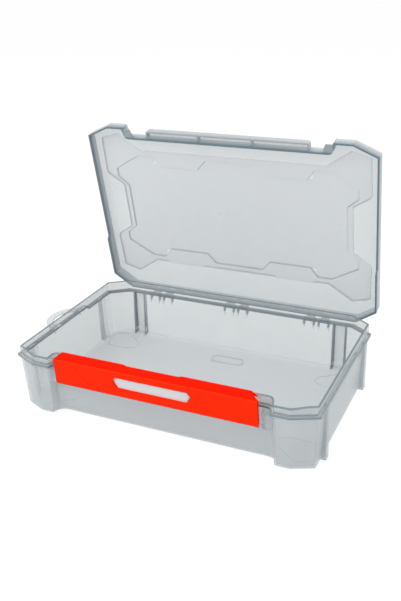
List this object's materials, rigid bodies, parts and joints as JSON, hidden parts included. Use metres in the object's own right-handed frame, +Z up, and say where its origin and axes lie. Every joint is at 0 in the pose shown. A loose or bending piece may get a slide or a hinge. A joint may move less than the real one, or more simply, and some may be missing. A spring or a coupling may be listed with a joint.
{
  "type": "tackle box",
  "caption": "Clear moulded tackle box with an open hinged lid, a red full-width latch flap, corner pods and a pull loop on one end",
  "frame": {"origin": "centre of the rim's footprint on the plane the tray stands on", "axes": "+Z up, the latch faces -Y, +X towards the right end, away from the pull loop"},
  "size_m": [0.3838, 0.2557, 0.2879],
  "materials": {
    "clear_plastic": "clear moulded plastic with a faint blue grey tint, smooth and glossy",
    "red_plastic": "opaque orange red moulded plastic, semi gloss",
    "label_plate": "pale grey plate, satin",
    "soft_plastic": "soft translucent plastic, untinted",
    "pin_steel": "plain drawn wire"
  },
  "bodies": {
    "base": {"tray_base": "clear_plastic", "hinge_pin_left": "pin_steel", "hinge_pin_middle": "pin_steel", "hinge_pin_right": "pin_steel", "latch_pin_left": "pin_steel", "latch_pin_right": "pin_steel", "pull_loop": "soft_plastic"},
    "lid": {"lid": "clear_plastic"},
    "latch": {"latch": "red_plastic", "latch_label": "label_plate"}
  },
  "joints": [
    {"name": "lid_hinge", "type": "hinge", "parent": "base", "child": "lid", "pos_m": [0, 0.117, 0.057], "axis": [-1, 0, 0], "range_deg": [-78.8, 25]},
    {"name": "latch_hinge", "type": "hinge", "parent": "base", "child": "latch", "pos_m": [0, -0.1128, 0.0481], "axis": [1, 0, 0], "range_deg": [-5.4, 100]}
  ]
}
